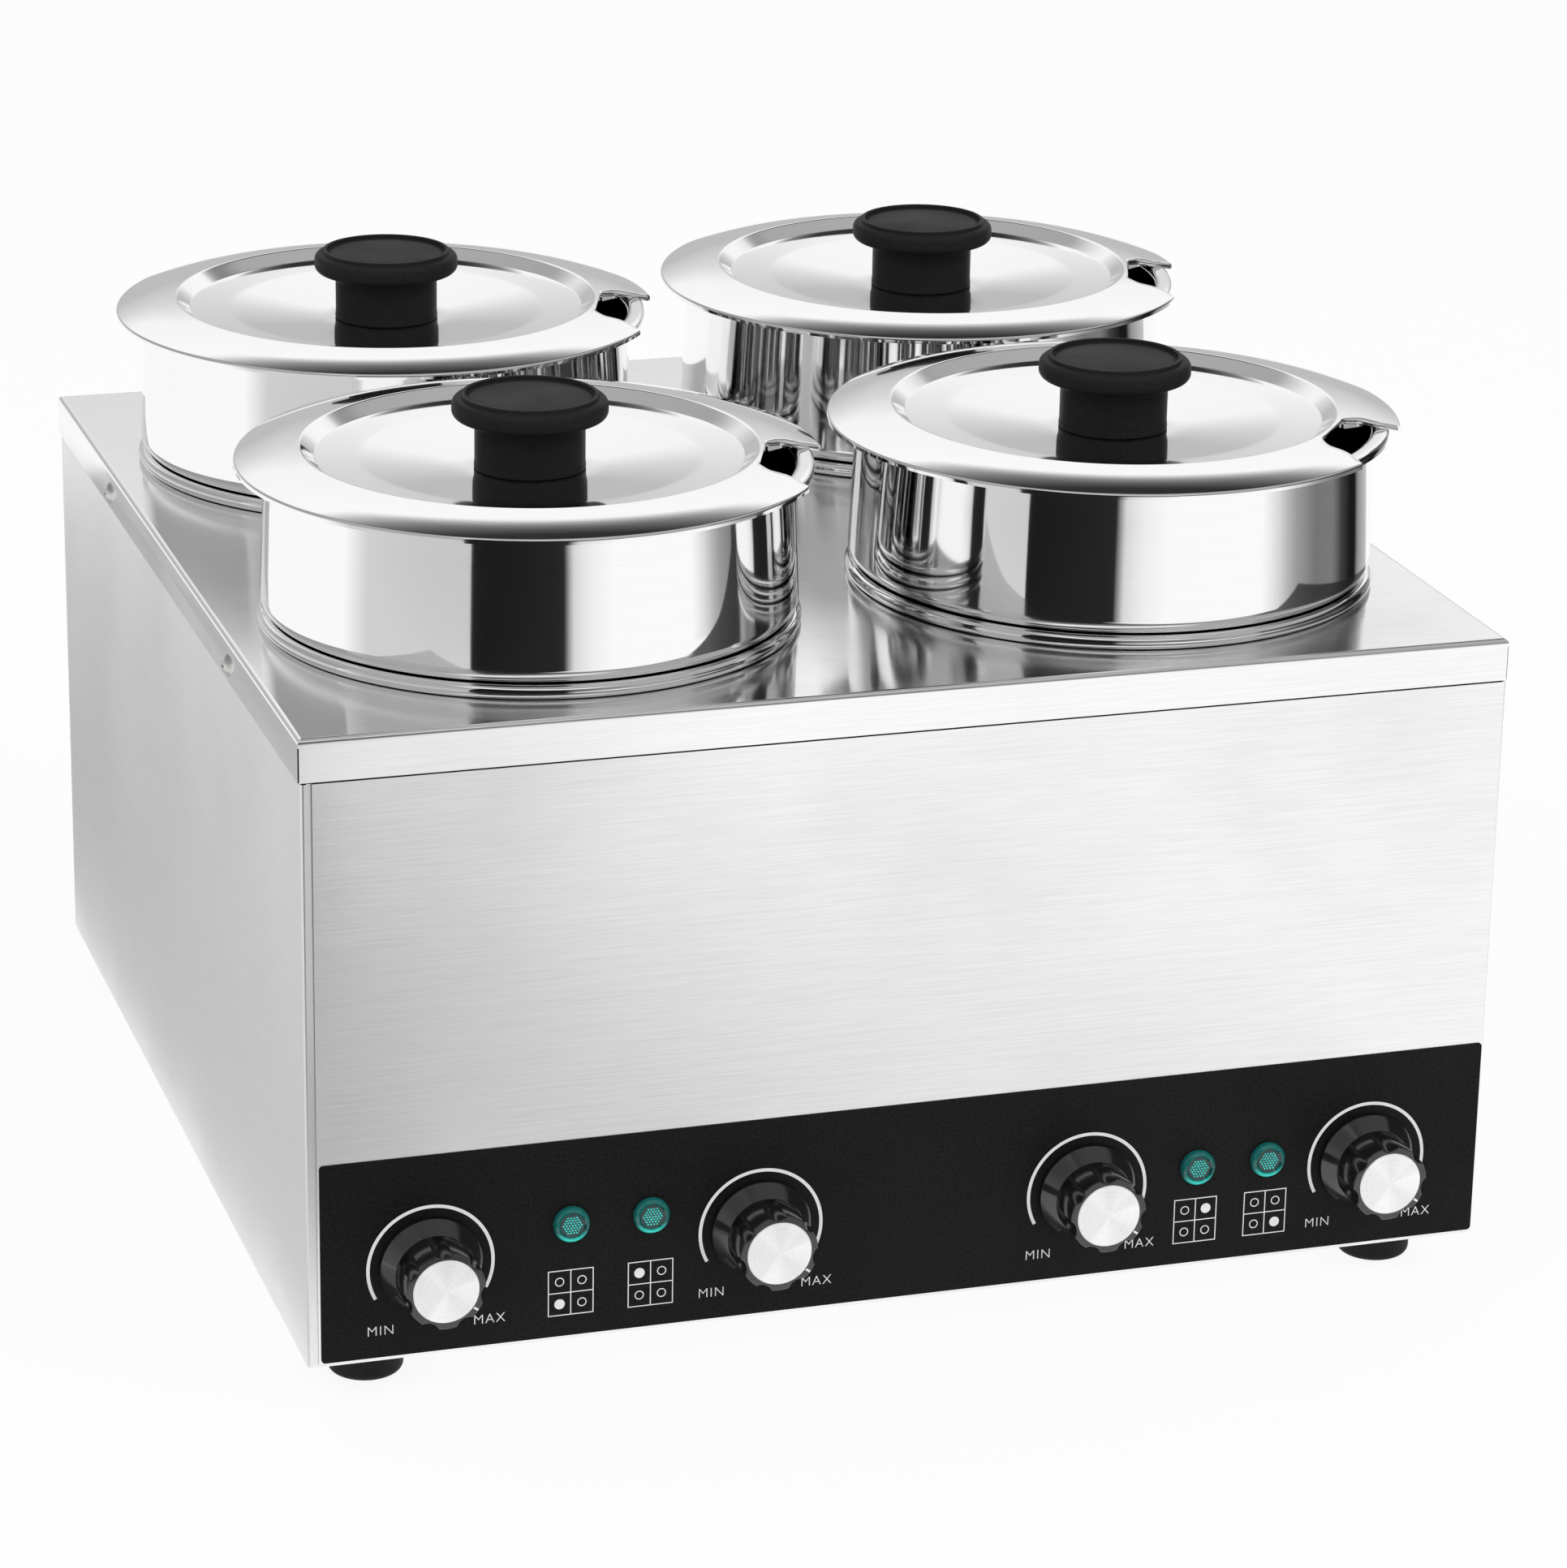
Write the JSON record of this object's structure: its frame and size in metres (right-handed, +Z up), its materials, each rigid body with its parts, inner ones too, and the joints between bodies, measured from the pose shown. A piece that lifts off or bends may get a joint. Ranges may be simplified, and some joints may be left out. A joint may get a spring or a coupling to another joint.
{
  "type": "table bain marie",
  "caption": "Square stainless table bain marie with round lift-out pots under notched lids, black mushroom handles and a front control strip of thermostat knobs and lamps.",
  "frame": {"origin": "on the table, under the middle of the housing", "axes": "+Z up, the control strip faces -Y, +X to the right when facing it"},
  "size_m": [0.4544, 0.5008, 0.3349],
  "materials": {
    "housing_steel": "brushed stainless sheet",
    "well_steel": "polished stainless",
    "pot_steel": "mirror-polished stainless",
    "lid_steel": "polished stainless",
    "screw_steel": "plain",
    "spindle_steel": "plain",
    "clamp_steel": "plain",
    "element_sheath": "heat-tinted",
    "sensor_copper": "plain",
    "black_film": "satin printed film",
    "knob_plastic": "gloss",
    "cap_aluminium": "spun",
    "handle_plastic": "satin",
    "foot_rubber": "matt",
    "lamp_lens": "clear tinted",
    "lamp_body": "plain",
    "thermostat_plastic": "plain",
    "terminal_plastic": "plain",
    "gland_plastic": "satin",
    "wire_sleeve": "braided sleeve"
  },
  "bodies": {
    "housing": {"base_plate": "housing_steel", "base_screws": "screw_steel", "cable_gland": "gland_plastic", "control_overlay": "black_film", "deck_screws": "screw_steel", "element_clamps": "clamp_steel", "foot_front_left": "foot_rubber", "foot_front_right": "foot_rubber", "foot_rear_left": "foot_rubber", "foot_rear_right": "foot_rubber", "front_panel": "housing_steel", "heating_elements": "element_sheath", "lamp_holders": "lamp_body", "lamp_lens_front_left": "lamp_lens", "lamp_lens_front_right": "lamp_lens", "lamp_lens_rear_left": "lamp_lens", "lamp_lens_rear_right": "lamp_lens", "left_panel": "housing_steel", "rear_panel": "housing_steel", "right_panel": "housing_steel", "terminal_block": "terminal_plastic", "thermostat_front_left": "thermostat_plastic", "thermostat_front_right": "thermostat_plastic", "thermostat_rear_left": "thermostat_plastic", "thermostat_rear_right": "thermostat_plastic", "thermostat_sensors": "sensor_copper", "top_deck": "housing_steel", "well_front_left": "well_steel", "well_front_right": "well_steel", "well_rear_left": "well_steel", "well_rear_right": "well_steel", "wiring_harness": "wire_sleeve"},
    "pot_front_left": {"pot_front_left": "pot_steel"},
    "lid_front_left": {"lid_front_left": "lid_steel", "lid_handle_front_left": "handle_plastic", "lid_screw_front_left": "screw_steel"},
    "knob_front_left": {"knob_front_left": "knob_plastic", "knob_cap_front_left": "cap_aluminium", "spindle_front_left": "spindle_steel"},
    "pot_rear_left": {"pot_rear_left": "pot_steel"},
    "lid_rear_left": {"lid_rear_left": "lid_steel", "lid_handle_rear_left": "handle_plastic", "lid_screw_rear_left": "screw_steel"},
    "knob_rear_left": {"knob_rear_left": "knob_plastic", "knob_cap_rear_left": "cap_aluminium", "spindle_rear_left": "spindle_steel"},
    "pot_rear_right": {"pot_rear_right": "pot_steel"},
    "lid_rear_right": {"lid_rear_right": "lid_steel", "lid_handle_rear_right": "handle_plastic", "lid_screw_rear_right": "screw_steel"},
    "knob_rear_right": {"knob_rear_right": "knob_plastic", "knob_cap_rear_right": "cap_aluminium", "spindle_rear_right": "spindle_steel"},
    "pot_front_right": {"pot_front_right": "pot_steel"},
    "lid_front_right": {"lid_front_right": "lid_steel", "lid_handle_front_right": "handle_plastic", "lid_screw_front_right": "screw_steel"},
    "knob_front_right": {"knob_front_right": "knob_plastic", "knob_cap_front_right": "cap_aluminium", "spindle_front_right": "spindle_steel"}
  },
  "joints": [
    {"name": "pot_front_left_lift", "type": "slide", "parent": "housing", "child": "pot_front_left", "axis": [0, 0, 1], "range_m": [0, 0.13]},
    {"name": "lid_front_left_lift", "type": "slide", "parent": "pot_front_left", "child": "lid_front_left", "axis": [0, 0, 1], "range_m": [0, 0.08]},
    {"name": "knob_front_left_turn", "type": "hinge", "parent": "housing", "child": "knob_front_left", "pos_m": [-0.1795, -0.2275, 0.0504], "axis": [0, -1, 0], "range_deg": [0, 252]},
    {"name": "pot_rear_left_lift", "type": "slide", "parent": "housing", "child": "pot_rear_left", "axis": [0, 0, 1], "range_m": [0, 0.13]},
    {"name": "lid_rear_left_lift", "type": "slide", "parent": "pot_rear_left", "child": "lid_rear_left", "axis": [0, 0, 1], "range_m": [0, 0.08]},
    {"name": "knob_rear_left_turn", "type": "hinge", "parent": "housing", "child": "knob_rear_left", "pos_m": [-0.057, -0.2275, 0.0504], "axis": [0, -1, 0], "range_deg": [0, 252]},
    {"name": "pot_rear_right_lift", "type": "slide", "parent": "housing", "child": "pot_rear_right", "axis": [0, 0, 1], "range_m": [0, 0.13]},
    {"name": "lid_rear_right_lift", "type": "slide", "parent": "pot_rear_right", "child": "lid_rear_right", "axis": [0, 0, 1], "range_m": [0, 0.08]},
    {"name": "knob_rear_right_turn", "type": "hinge", "parent": "housing", "child": "knob_rear_right", "pos_m": [0.0685, -0.2275, 0.0504], "axis": [0, -1, 0], "range_deg": [0, 252]},
    {"name": "pot_front_right_lift", "type": "slide", "parent": "housing", "child": "pot_front_right", "axis": [0, 0, 1], "range_m": [0, 0.13]},
    {"name": "lid_front_right_lift", "type": "slide", "parent": "pot_front_right", "child": "lid_front_right", "axis": [0, 0, 1], "range_m": [0, 0.08]},
    {"name": "knob_front_right_turn", "type": "hinge", "parent": "housing", "child": "knob_front_right", "pos_m": [0.1795, -0.2275, 0.0504], "axis": [0, -1, 0], "range_deg": [0, 252]}
  ]
}
